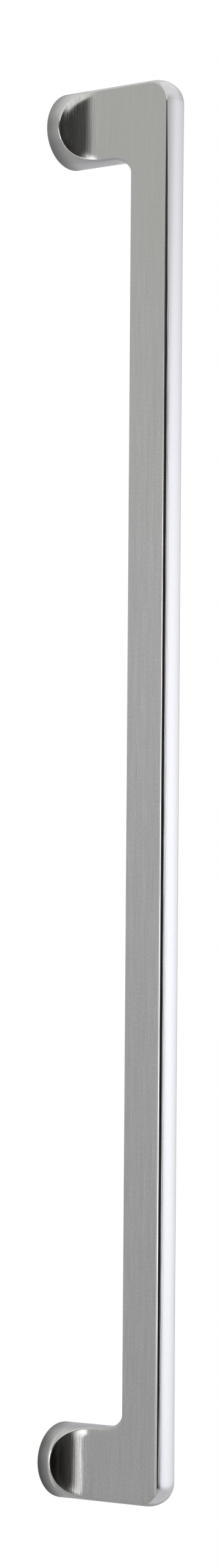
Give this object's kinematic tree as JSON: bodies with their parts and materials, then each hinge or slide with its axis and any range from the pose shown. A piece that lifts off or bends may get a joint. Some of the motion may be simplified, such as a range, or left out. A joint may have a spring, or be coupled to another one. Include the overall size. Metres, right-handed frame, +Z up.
{
  "type": "door pull handle",
  "caption": "Flat upright bar pull handle for a door, in satin steel, on round scooped feet with tapped holes for fixing from behind.",
  "frame": {"origin": "on the door face, midway between the two fixing holes", "axes": "+Z up along the grip, +Y into the door, so the grip stands off towards -Y, and +X across the thickness of the grip"},
  "size_m": [0.0284, 0.052, 0.5286],
  "materials": {
    "satin_steel": "stainless steel brushed lengthwise to an even satin, edges softened by hand"
  },
  "bodies": {
    "root": {"pull_handle": "satin_steel"}
  },
  "joints": []
}
